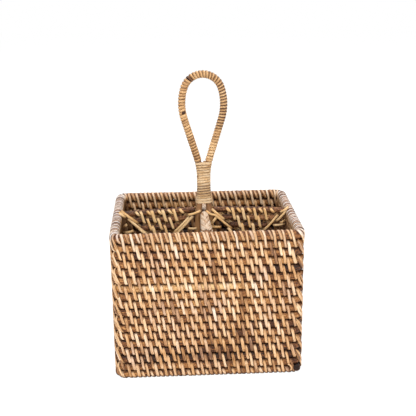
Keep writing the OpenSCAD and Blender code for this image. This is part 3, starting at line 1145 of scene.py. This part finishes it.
class CADDY_OT_wall_lashing(bpy.types.Operator):
    """Winds a strip round each pair of wall canes"""

    bl_idname = "caddy.wall_lashing"
    bl_label = "Wall Lashing"

    def execute(self, context):
        weave = settings()[0]
        pitch = FULL_RING / weave.turns
        rods = [(z, ROD_R) for z in ROD_Z]
        foot = rods[0]
        for i, (lower, upper) in enumerate(zip(rods, rods[1:])):
            place = wall_place(i, i + 1, lower[0], upper[0])
            phase = band_phase(i, pitch)
            bm = lashing(
                place, FULL_RING, weave.turns, upper, lower, phase, weave.lean_outside, 100 + i,
                strip_tone, corner=weave.lean_corner,
            )
            bm = join([bm, *corner_turns(place, upper, lower, phase + pitch / 4, pitch, 300 + i)])
            if i == 0:
                single = lashing(
                    wall_place(0, 0, foot[0], foot[0] + MM), FULL_RING, weave.turns, foot, foot,
                    band_phase(1, pitch) + RIM_TURN_SHIFT, weave.lean_outside / 2, 99, strip_tone,
                )
                bm = join([bm, single])
            keep_above(bm, CLEAR)
            finish_piece(f"wall_lashing_{i + 1:02d}", bm, MATERIALS["strip"])
        return {"FINISHED"}


class CADDY_OT_rim_lashing(bpy.types.Operator):
    """Winds the strips that bind the rim"""

    bl_idname = "caddy.rim_lashing"
    bl_label = "Rim Lashing"

    def execute(self, context):
        weave = settings()[0]
        pitch = FULL_RING / weave.turns
        top = len(COURSES)
        rim, under = (RIM_Z, RIM_R), (ROD_Z[-1], ROD_R)
        place = wall_place(top - 1, top, ROD_Z[-1], RIM_Z)
        phase = band_phase(top - 1, pitch)
        parts = [
            lashing(
                place, FULL_RING, weave.turns, rim, under, phase, weave.lean_outside, 200,
                pale_tone, crown=True,
            ),
            lashing(
                wall_place(top, top, RIM_Z, RIM_Z + MM), FULL_RING, weave.turns, rim, rim,
                band_phase(top, pitch) + RIM_TURN_SHIFT, weave.lean_outside / 2, 201, rim_tone,
                crown=True,
            ),
        ]
        for quarter in (1, 3):
            first = phase + quarter * pitch / 4
            parts += corner_turns(place, rim, under, first, pitch, 202 + quarter)
        finish_piece(
            "rim_lashing_strips", join(parts), MATERIALS["strip"], ["rim_lashing"]
        )
        return {"FINISHED"}


class CADDY_OT_floor(bpy.types.Operator):
    """Lays the floor canes side by side and lashes them"""

    bl_idname = "caddy.floor"
    bl_label = "Floor"

    def execute(self, context):
        low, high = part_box("floor_rods")
        radius, z = (high.z - low.z) / 2, (high.z + low.z) / 2
        count = 17
        pitch = (high.y - low.y - 2 * radius) / (count - 1)
        canes = []
        tuck = 1.2 * MM
        for k in range(count):
            y = (k - (count - 1) / 2) * pitch
            # the outermost canes end where the corners of the ring curve in
            end = high.x + (-tuck if k in (0, count - 1) else tuck)
            cane = straight_cane(
                Vector((-end, y, z)), Vector((end, y, z)), radius, 300 + k,
                random.Random(k).uniform(0.35, 0.55),
            )
            # pressed flat enough to leave no light between them
            for vert in cane.verts:
                vert.co.y = y + (vert.co.y - y) * (pitch + 0.2 * MM) / (2 * radius)
            canes.append(cane)
        finish_piece("floor_canes", join(canes), MATERIALS["core"], ["floor_rods"])

        def place(s, out, up):
            return Vector((s, up, z + out)), UP, -FRONT

        strips = []
        turns = 18
        room = 2 * (high.x - 4 * MM)
        step = room / turns
        for k in range(count - 1):
            y = (k - (count - 1) / 2) * pitch
            strips.append(
                lashing(
                    place, room - step, turns - 1, (y + pitch, radius), (y, radius),
                    -room / 2 + (k % 2) * step / 2, 3 * MM, 330 + k, strip_tone,
                    closed=False, arc_steps=3, side_steps=1,
                )
            )
        bm = join(strips)
        keep_above(bm, CLEAR)
        finish_piece("floor_lashing", bm, MATERIALS["strip"])
        return {"FINISHED"}


def web_rise(side, row):
    """Height of a divider cane's axis over the top cane's, square to it."""
    place = web_place(side)
    origin, _, upward = place(0, 0, 0)
    return (sum(web_ends(side, row), Vector()) / 2 - origin).dot(upward)


# the straps seen in front of the dividers, as (x, height over the rim) in
# millimetres along each strip
STRAPS = {
    "left_wall": [
        [(-93.5, 1.2), (-86.6, -5.5)],
        [(-91.4, 2.5), (-73.2, -12.5)],
        [(-84.0, -6.8), (-64.1, -25.1)],
        [(-76.4, -14.8), (-62.0, -28.0)],
        [(-91.4, -16.9), (-85.7, -13.3)],
        [(-90.9, -23.1), (-78.6, -21.0)],
    ],
    "left_leg": [
        [(-16.5, -6.4), (-34.2, -24.6)],
        [(-12.5, -5.7), (-33.0, -27.5)],
        [(-18.0, -4.2), (-11.6, -2.4), (-4.0, 0.4)],
        [(-18.0, -19.8), (-8.7, -20.0)],
    ],
    "right_leg": [
        [(8.1, 2.2), (22.4, -10.7)],
        [(2.0, 0.2), (7.1, -3.7), (12.3, -5.0), (30.5, -21.6)],
        [(13.6, -6.9), (7.1, -15.6)],
        [(7.5, -18.4), (18.6, -19.1)],
        [(26.0, -20.0), (32.0, -27.5)],
    ],
    "right_wall": [
        [(82.0, -6.6), (66.0, -25.0)],
        [(93.5, 2.2), (84.5, -3.9)],
        [(91.8, -1.4), (80.0, -14.4)],
        [(76.6, -18.9), (90.3, -17.5)],
        [(84.7, -16.0), (90.2, -13.0)],
    ],
}


class CADDY_OT_dividers(bpy.types.Operator):
    """Builds the two halves of the long divider: canes, stitches and ties"""

    bl_idname = "caddy.dividers"
    bl_label = "Dividers"

    def execute(self, context):
        for side in ("left", "right"):
            for row in range(1, WEB_ROWS + 1):
                wall, leg = web_ends(side, row)
                shade = random.Random(row * 7 + len(side)).uniform(0.2, 0.36)
                cane = straight_cane(wall, leg, WEB_R, row * 11 + len(side), shade)
                finish_piece(
                    f"{side}_divider_cane_{row}", cane, MATERIALS["dark_core"],
                    [f"{side}_divider_rod_{row}"], bleach_and_sheen=never_faded,
                )
            self.stitch(side)
            self.tie(side)
        return {"FINISHED"}

    def stitch(self, side):
        """Strips round each pair of canes and round the top cane, staggered."""
        place = web_place(side)
        pitch, margin = 12 * MM, 9 * MM
        strips = []
        length = web_length(side)
        for row in range(1, WEB_ROWS):
            wall, leg = web_ends(side, row + 1)
            room = (wall - leg).length - margin
            count = max(1, 2 * int((room / pitch + row % 2) / 2) + 1 - row % 2)
            start = length / 2 - count * pitch / 2 + pitch / 2 - 1.5 * MM
            strips.append(
                lashing(
                    place, count * pitch, count, (web_rise(side, row), WEB_R),
                    (web_rise(side, row + 1), WEB_R), start, 3.7 * MM,
                    400 + row * 2 + len(side), golden_tone, closed=False,
                )
            )
        singles = 2 * int(((length - margin) / pitch - 1) / 2) + 1
        start = length / 2 - singles * pitch / 2 + pitch / 2 - 1.8 * MM
        strips.append(
            lashing(
                place, singles * pitch, singles, (0, WEB_R), (0, WEB_R), start, 5.4 * MM,
                420 + len(side), golden_tone, closed=False,
            )
        )
        finish_piece(
            f"{side}_divider_strips", join(strips), MATERIALS["tie"],
            [f"{side}_divider_lashing"], bleach_and_sheen=never_faded,
        )

    def tie(self, side):
        """Straps down both edges of the V: laid one by one in front, in a chain behind."""
        for edge in ("wall", "leg"):
            rng = random.Random(f"{side} {edge}")
            strips = [self.strap(points, -1, rng) for points in STRAPS[f"{side}_{edge}"]]
            strips += [self.strap(points, 1, rng) for points in self.chain(side, edge)]
            finish_piece(
                f"{side}_{edge}_tie_strips", join(strips), MATERIALS["tie"],
                [f"{side}_{edge}_ties"], bleach_and_sheen=never_faded,
            )

    def strap(self, points, face, rng):
        """A strip on one face of the divider, its ends tucked in; points are (x, height)."""
        route, normals = [], []
        last = len(points) - 1
        normal = Vector((0, face, 0))
        for k, (x, height) in enumerate(points):
            if k:
                before = points[k - 1]
                route.append(self.on_face((x + before[0]) / 2, (height + before[1]) / 2, face, 1.3))
                normals.append(normal)
            lift = -0.2 if k in (0, last) else 1.2
            route.append(self.on_face(x, height, face, lift))
            normals.append(normal)
        return loose_strip(
            route, normals, rng.uniform(2.8, 3.2) * MM, 0.85 * MM,
            rng.uniform(0.6, 0.95), rng.uniform(0, 90),
        )

    def on_face(self, x, height, face, lift):
        """A point that stands lift off a face of the divider, all in millimetres."""
        return Vector((x * MM, face * (WEB_R + lift * MM), RIM_TOP + height * MM))

    def chain(self, side, edge):
        """Links down an edge, each starting under the middle of the one before it."""
        wall, leg = web_ends(side, 1)
        corner, run = (wall, leg - wall) if edge == "wall" else (leg, wall - leg)
        sign = 1 if run.x > 0 else -1
        for link in range(4):
            x = corner.x / MM + sign * (-1 + 7.6 * link)
            height = (corner.z - RIM_TOP) / MM + 2 - 8.2 * link
            reach = 17 if link < 3 else 10
            yield [(x, height), (x + sign * reach, height - 0.78 * reach)]


# radius of a beam at its nose, between the handle's legs
BEAM_NOSE = 4.25 * MM


class CADDY_OT_beams(bpy.types.Operator):
    """Plaits the strips over the two cross beams"""

    bl_idname = "caddy.beams"
    bl_label = "Cross Beams"

    def execute(self, context):
        for name, sign in (("front_beam", -1), ("rear_beam", 1)):
            low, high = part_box(name)
            wide = (high.x - low.x) / 2
            near, far = sorted((abs(low.y), abs(high.y)))
            tilt = math.atan2(wide - BEAM_NOSE, far - near - BEAM_NOSE)
            start = Vector((0, sign * (near + BEAM_NOSE), high.z - BEAM_NOSE))
            end = Vector((0, sign * (far - wide * math.sin(tilt)), high.z - wide / math.cos(tilt)))
            self.plait(name, start, end, BEAM_NOSE, wide, sign)
        return {"FINISHED"}

    def plait(self, name, start, end, nose, wide, sign):
        """Long strands that leave the crown and run back and down round the beam."""
        run = end - start
        forward = run.normalized()
        up = forward.cross(RIGHT)
        up *= 1 if up.z > 0 else -1
        skin = 0.65 * MM
        # each strand advances by lay while it runs from the crown to below
        step, lay, strand = 4.6 * MM, 50 * MM, 1.6 * MM
        rings, knots = 24, 15

        def size(t):
            if t < 0:
                return math.sqrt(max((0.1 * nose) ** 2, nose**2 - t**2))
            return nose + (wide - nose) * t / run.length

        stations = []
        for k in range(rings):
            t = -nose * 0.98 + (run.length + nose * 0.98) * (k / (rings - 1)) ** 1.4
            r = max(0.3 * MM, size(t) - skin)
            # the core under the strands is drawn with painted shade
            stations.append(Station(start + forward * t, RIGHT, up, r, r, t, 0.3, 0.4))
        parts = [bent_tube(stations, round_profile(16), seed=5.0 + sign)]
        rng = random.Random(name)
        for k in range(int((run.length + lay) / step) + 1):
            for hand in (-1, 1):
                begin = (k + (0.5 if hand > 0 else 0.0)) * step
                points, normals = [], []
                for j in range(knots):
                    share = j / (knots - 1)
                    t = begin - lay * share
                    if not -0.92 * nose < t < run.length - 0.4 * MM:
                        continue
                    angle = hand * (-0.28 + 2.5 * share)
                    normal = RIGHT * math.sin(angle) + up * math.cos(angle)
                    lift = (0.3 if share < 0.15 else 0.12) * MM
                    points.append(start + forward * t + normal * (size(t) - skin + lift))
                    normals.append(normal)
                if len(points) < 3:
                    continue
                parts.append(
                    loose_strip(
                        points, normals, strand * rng.uniform(0.8, 1.1), 0.66 * MM,
                        rng.choice((0.4, 0.75, 0.95, 1.1)) + rng.uniform(-0.08, 0.08),
                        rng.uniform(0, 50), steps=2, shade_and_bark_of=braid_edge_shade,
                    )
                )
        whole = join(parts)
        soil = attribute_layers(whole)[2]
        reach = (26 if sign > 0 else 7) * MM
        for vert in whole.verts:
            # the ends lie in the shade of the handle
            shade = max(0.0, 1 - abs(vert.co.y) / reach)
            vert[soil] = max(vert[soil], (0.75 if sign > 0 else 1.0) * shade)
        finish_piece(
            name + "_plait", whole, MATERIALS["strip"], [name],
            bleach_and_sheen=lambda spot, fade: 0.2,
        )


class CADDY_OT_handle(bpy.types.Operator):
    """Bends the handle cane and winds its bindings"""

    bl_idname = "caddy.handle"
    bl_label = "Handle"

    def execute(self, context):
        route = handle_route()
        self.pole(route)
        self.grip(route)
        self.neck(route)
        return {"FINISHED"}

    def pole(self, route):
        """The cane itself, from the foot of one leg to the other's."""
        total = route[-1][3]
        size = POLE_R * 0.99
        fork_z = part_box("neck_wrapping")[1].z + 4 * MM
        count = round(2 * total / (2.5 * MM))
        stations = []
        for k in range(count + 1):
            s = total * (2 * k / count - 1)
            point, normal = route_at(route, s)
            drift = 0.1 * noise.noise(Vector((s / 0.03, 3, 0)))
            # in the fork over the neck wrapping no light gets between the canes
            fork = 1.0 if abs(point.z - fork_z) < 3.5 * MM else 0.0
            tone = 0.45 + drift - 0.45 * fork
            stations.append(Station(point, FRONT, normal, size, size, s, tone, fork))
        bm = bent_tube(stations, round_profile(20), seed=70)
        finish_piece("handle_pole", bm, MATERIALS["pole"], ["handle_cane"])

    def grip(self, route):
        """A narrow strip wound from one side of the neck over the loop to the other."""
        neck_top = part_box("neck_wrapping")[1].z
        half = next(r[3] for r in route if r[1] < neck_top + 1.25 * MM)
        turns = round(2 * half / settings()[1].grip_pitch)
        step = 2 * half / turns
        rng = random.Random(11)
        widths = [rng.uniform(0.9, 1.0) for _ in range(turns + 2)]
        tones = [rng.uniform(0.4, 0.6) for _ in range(turns + 2)]
        lifts = [rng.uniform(-0.14, 0.0) * MM for _ in range(turns + 2)]
        darks = [self.dark_edge(-half + step * (k + 0.5), rng) for k in range(turns + 2)]
        hands = list(zip(widths, tones, lifts, darks))
        per_turn = 18
        stations = []
        # both ends lie behind, after a turn that doesn't advance
        for k in range(turns * per_turn + 1):
            turn, part = divmod(k, per_turn)
            mix = part / per_turn
            s = -half + step * min(turns - 0.5, max(0.5, k / per_turn))
            phi = TURN * (mix - 0.25)
            point, normal = route_at(route, s)
            around = normal * math.cos(phi) + FRONT * math.sin(phi)
            travel = (route_at(route, s + 0.2 * MM)[0] - point).normalized()
            width, tone, lift, dark = blend(hands[turn], hands[turn + 1], mix)
            stations.append(
                Station(
                    point + around * (POLE_R + WRAP_LIFT + lift), travel, around,
                    step * width, WRAP_THICK, k * TURN * POLE_R / per_turn,
                    tone + self.grip_shade(s, phi), dark,
                )
            )
        bm = bent_tube(stations, WRAP_PROFILE, seed=80, shade_and_bark_of=wrap_groove_shade_and_bark)
        finish_piece("grip_binding", bm, MATERIALS["wrap"], ["grip_wrapping"])

    def dark_edge(self, s, rng):
        """One edge keeps its dark bark, most of all down the right side.

        (from, to, least, most) in millimetres along the loop from its top.
        """
        for start, end, least, most in (
            (-200, -88, 0.35, 0.7),
            (-88, -58, 0.1, 0.5),
            (-58, -40, 0.0, 0.2),
            (-40, -33, 0.6, 0.8),
            (-33, -16, 0.1, 0.35),
            (-16, 22, 0.45, 0.85),
            (22, 74, 0.85, 1.0),
            (74, 90, 0.3, 0.6),
        ):
            if start * MM <= s < end * MM:
                return rng.uniform(least, most)
        return rng.uniform(0.05, 0.3)

    def grip_shade(self, s, phi):
        """A dark joint at the upper left, a stain half way down the left side, and painted
        light down the right side, brightest near its foot.
        """
        if -16.2 * MM < s < -11.8 * MM:
            return -0.36
        if -53.6 * MM < s < -50.2 * MM and 1.3 < phi < 2.5:
            return -0.5
        return 0.2 if s > 82 * MM else 0.1 if s > 24 * MM else 0.0

    def neck(self, route):
        """A strip wound round both canes of the neck, climbing to the right in front."""
        low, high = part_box("neck_wrapping")
        turns = round((high.z - low.z) / settings()[1].neck_pitch)
        step = (high.z - low.z) / turns
        rng = random.Random(12)
        tones = [rng.uniform(0.76, 0.95) for _ in range(turns + 2)]
        widths = [rng.uniform(0.92, 1.0) for _ in range(turns + 2)]
        darks = [rng.choice((0.25, 0.4, 0.55, 0.8)) for _ in range(turns + 2)]
        hands = list(zip(tones, widths, darks))
        # (cane, x and y of the way out) round one turn, from behind to the left
        bend = [(math.sin(TURN * k / 14), math.cos(TURN * k / 14)) for k in range(1, 7)]
        outline = [(-k / 2, 0, 1) for k in range(3)] + [(-1, -x, y) for x, y in bend]
        outline += [(-1 + k / 2, 0, -1) for k in range(5)] + [(1, x, -y) for x, y in bend]
        outline += [(1 - k / 2, 0, 1) for k in range(2)]
        per_turn = len(outline)
        stations = []
        for k in range(turns * per_turn + 1):
            turn, part = divmod(k, per_turn)
            cane, out_x, out_y = outline[part]
            mix = part / per_turn
            z = low.z + step * min(turns - 0.5, max(0.5, k / per_turn))
            normal = Vector((out_x, out_y, 0))
            place = Vector((route_x(route, z) * cane, 0, z)) + normal * (POLE_R + WRAP_LIFT)
            along = k * 2.2 * MM
            tone, width, dark = blend(hands[turn], hands[turn + 1], mix)
            stations.append(
                Station(
                    place, -UP, normal, step * width, WRAP_THICK, along,
                    tone + self.neck_shade(place), dark,
                )
            )
        bm = bent_tube(stations, WRAP_PROFILE, seed=90, shade_and_bark_of=wrap_groove_shade_and_bark)
        finish_piece("neck_binding", bm, MATERIALS["wrap"], ["neck_wrapping"])

    def neck_shade(self, place):
        """Two dark stains: at the upper right in front and half way down the left edge."""
        over = (place.z - RIM_TOP) / MM
        if place.y < 0 and place.x > 3 * MM and 49.5 < over < 52.5:
            return -0.35
        if place.x < -POLE_R * 1.7 and 37.5 < over < 40.5:
            return -0.4
        return 0.0


def shown_rays(tree):
    """1 where a surface is seen, directly, in a reflection or through glass."""
    path = add_node(tree, "ShaderNodeLightPath")
    seen = add_node(
        tree, "ShaderNodeMath", {"operation": "MAXIMUM"},
        {0: path.outputs["Is Camera Ray"], 1: path.outputs["Is Glossy Ray"]},
    )
    shown = add_node(
        tree, "ShaderNodeMath", {"operation": "MAXIMUM"},
        {0: seen.outputs[0], 1: path.outputs["Is Transmission Ray"]},
    )
    return shown.outputs[0]


class CADDY_OT_stage(bpy.types.Operator):
    """Sets the floor, the backdrop, the lamps and the camera"""

    bl_idname = "caddy.stage"
    bl_label = "Stage"

    def execute(self, context):
        scene = context.scene
        stage = settings()[3]
        scene.view_settings.view_transform = "Standard"

        floor_bm = bmesh.new()
        bmesh.ops.create_grid(floor_bm, x_segments=2, y_segments=2, size=4)
        mesh = bpy.data.meshes.new("floor")
        floor_bm.to_mesh(mesh)
        floor_bm.free()
        floor = bpy.data.objects.new("floor", mesh)
        scene.collection.objects.link(floor)
        material = bpy.data.materials.new("White paper sweep")
        material.use_nodes = True
        tree = material.node_tree
        tree.nodes.clear()
        # three parts of plain white to one of lit paper, so that a faint shadow stays
        amount = add_node(
            tree, "ShaderNodeMath", {"operation": "MULTIPLY", 1: 0.72}, {0: shown_rays(tree)}
        )
        plain = {"Color": colour("#ffffff")}
        paper = add_node(tree, "ShaderNodeBsdfDiffuse", plain)
        white = add_node(tree, "ShaderNodeEmission", {**plain, "Strength": 1.2})
        mix = add_node(
            tree, "ShaderNodeMixShader", {},
            {0: amount.outputs[0], 1: paper.outputs[0], 2: white.outputs[0]},
        )
        add_node(tree, "ShaderNodeOutputMaterial", {}, {"Surface": mix.outputs[0]})
        mesh.materials.append(material)

        world = bpy.data.worlds.new("Studio")
        scene.world = world
        world.use_nodes = True
        tree = world.node_tree
        tree.nodes.clear()
        soft = add_node(tree, "ShaderNodeBackground", {**plain, "Strength": 0.46})
        white = add_node(tree, "ShaderNodeBackground", {**plain, "Strength": 1.0})
        mix = add_node(
            tree, "ShaderNodeMixShader", {},
            {0: shown_rays(tree), 1: soft.outputs[0], 2: white.outputs[0]},
        )
        add_node(tree, "ShaderNodeOutputWorld", {}, {"Surface": mix.outputs[0]})

        for name, place, size, power in (
            ("key_lamp", (-0.7, -1.1, 1.25), 1.0, 14.0),
            ("fill_lamp", (0.9, -1.0, 0.9), 1.0, 9.0),
            ("top_lamp", (0.1, 0.3, 1.6), 1.2, 14.0),
        ):
            lamp = bpy.data.lights.new(name, "AREA")
            lamp.energy, lamp.size = power, size
            holder = bpy.data.objects.new(name, lamp)
            aim = (UP * 0.1 - Vector(place)).to_track_quat("-Z", "Y").to_matrix().to_4x4()
            holder.matrix_world = Matrix.Translation(place) @ aim
            scene.collection.objects.link(holder)

        yaw, pitch, roll = stage.turn
        level = math.cos(pitch)
        forward = Vector((math.sin(yaw) * level, math.cos(yaw) * level, -math.sin(pitch)))
        right = Vector((math.cos(yaw), -math.sin(yaw), 0))
        up = right.cross(forward)
        right, up = (
            right * math.cos(roll) + up * math.sin(roll),
            up * math.cos(roll) - right * math.sin(roll),
        )
        camera = bpy.data.objects.new("camera", bpy.data.cameras.new("camera"))
        camera.data.lens = stage.lens
        camera.data.sensor_width = 36
        axes = Matrix((right, up, -forward)).transposed().to_4x4()
        camera.matrix_world = Matrix.Translation(stage.place) @ axes
        scene.collection.objects.link(camera)
        scene.camera = camera
        return {"FINISHED"}


class CADDY_PT_panel(bpy.types.Panel):
    """The caddy's pieces in the 3D view's sidebar"""

    bl_label = "Caddy"
    bl_idname = "CADDY_PT_panel"
    bl_space_type = "VIEW_3D"
    bl_region_type = "UI"
    bl_category = "Caddy"

    def draw(self, context):
        for operator in OPERATORS:
            self.layout.operator(operator.bl_idname)
        for group in settings():
            for name in group.__annotations__:
                self.layout.prop(group, name)


GROUPS = {
    "caddy_weave": CaddyWeave,
    "caddy_handle": CaddyHandle,
    "caddy_finish": CaddyFinish,
    "caddy_stage": CaddyStage,
}
OPERATORS = [
    CADDY_OT_wall_canes,
    CADDY_OT_cane_end,
    CADDY_OT_wall_lashing,
    CADDY_OT_rim_lashing,
    CADDY_OT_floor,
    CADDY_OT_dividers,
    CADDY_OT_beams,
    CADDY_OT_handle,
    CADDY_OT_stage,
]


def register():
    for cls in (*GROUPS.values(), *OPERATORS, CADDY_PT_panel):
        bpy.utils.register_class(cls)
    for name, group in GROUPS.items():
        setattr(bpy.types.Scene, name, PointerProperty(type=group))


def unregister():
    for name in GROUPS:
        delattr(bpy.types.Scene, name)
    for cls in reversed((*GROUPS.values(), *OPERATORS, CADDY_PT_panel)):
        bpy.utils.unregister_class(cls)


def main():
    register()
    MATERIALS.update(make_materials())
    bpy.ops.caddy.wall_canes()
    bpy.ops.caddy.cane_end()
    bpy.ops.caddy.wall_lashing()
    bpy.ops.caddy.rim_lashing()
    bpy.ops.caddy.floor()
    bpy.ops.caddy.dividers()
    bpy.ops.caddy.beams()
    bpy.ops.caddy.handle()
    bpy.ops.caddy.stage()


if __name__ == "__main__":
    main()
